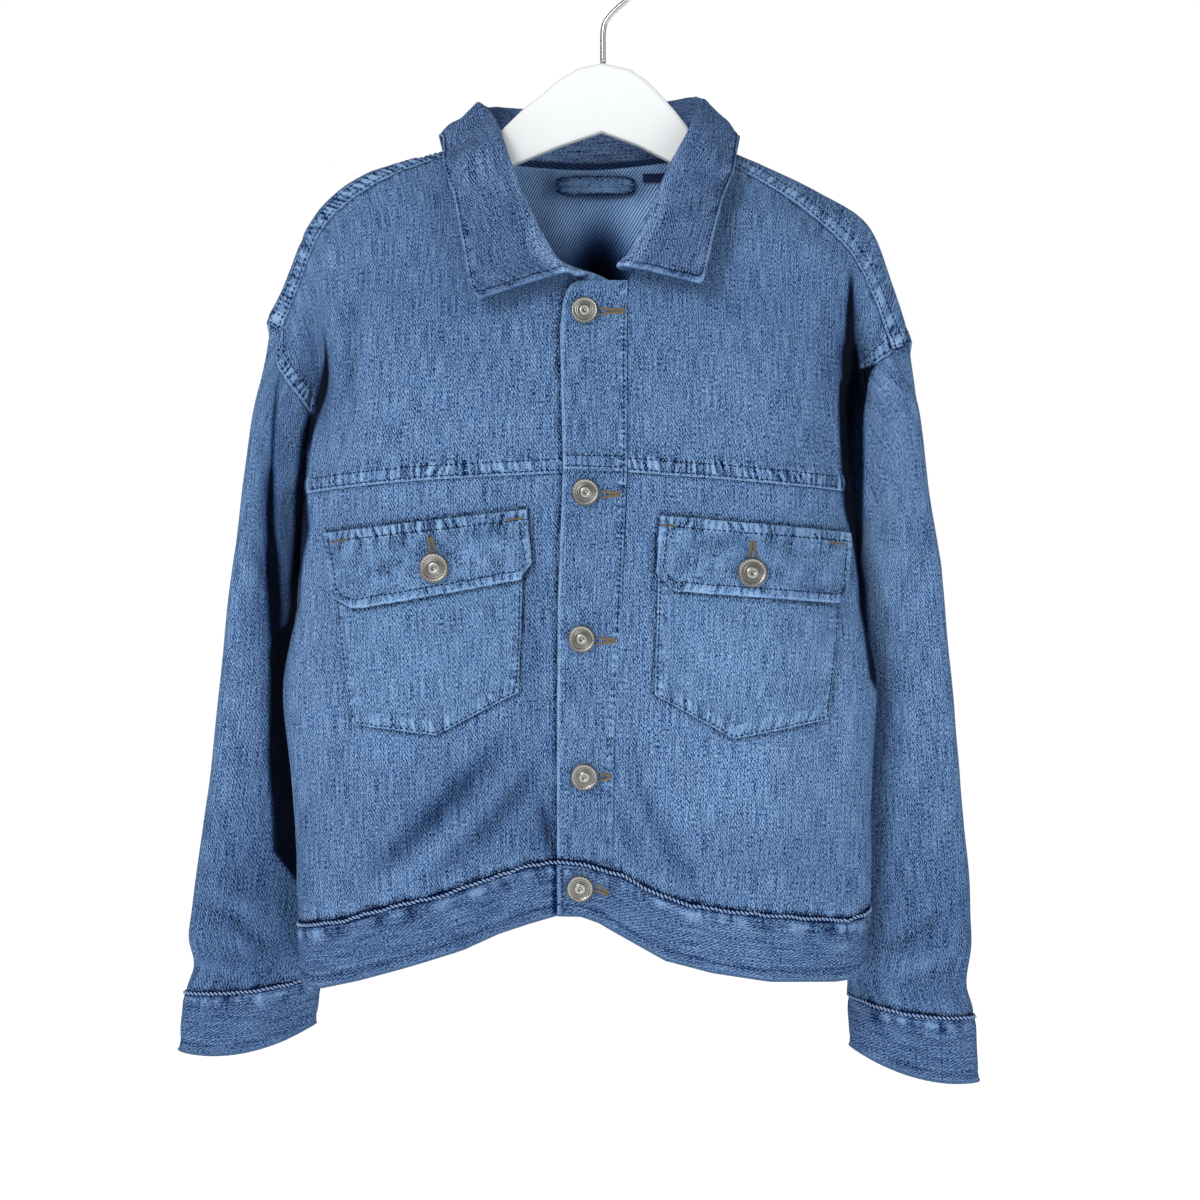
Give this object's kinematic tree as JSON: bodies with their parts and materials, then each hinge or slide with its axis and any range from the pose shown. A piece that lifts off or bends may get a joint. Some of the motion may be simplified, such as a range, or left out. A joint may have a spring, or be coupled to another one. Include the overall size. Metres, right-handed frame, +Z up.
{
  "type": "denim jacket on a flat hanger with a wire hook",
  "caption": "Child's boxy button-front denim jacket with collar, yokes, flap pockets, waistband and cuffs, hung on a flat white hanger with a wire hook.",
  "frame": {"origin": "top of the hook's inside, where the hook rests on its rail", "axes": "+Z up, -Y out of the jacket's front, +X towards the wearer's left, which is the viewer's right"},
  "size_m": [0.4662, 0.1262, 0.6654],
  "materials": {
    "denim": "washed mid-blue cotton denim twill, paler on its inside",
    "denim_band": "the same denim, less faded, with its warp along the band",
    "label": "plain navy woven ribbon, bare",
    "button": "antique nickel, plain rings",
    "hanger": "smooth white paint",
    "hook": "polished wire"
  },
  "bodies": {
    "root": {"back_panel": "denim", "yoke_right": "denim", "yoke_left": "denim", "front_right": "denim", "front_left": "denim", "placket": "denim", "collar": "denim", "sleeve_right": "denim", "sleeve_left": "denim", "cuff_right": "denim_band", "cuff_left": "denim_band", "waistband": "denim_band", "pocket_right": "denim", "pocket_left": "denim", "flap_right": "denim", "flap_left": "denim", "hanger_loop": "denim", "neck_label": "label", "button_front_1": "button", "button_front_2": "button", "button_front_3": "button", "button_front_4": "button", "button_front_5": "button", "button_pocket_right": "button", "button_pocket_left": "button", "hanger": "hanger", "hook": "hook"}
  },
  "joints": []
}
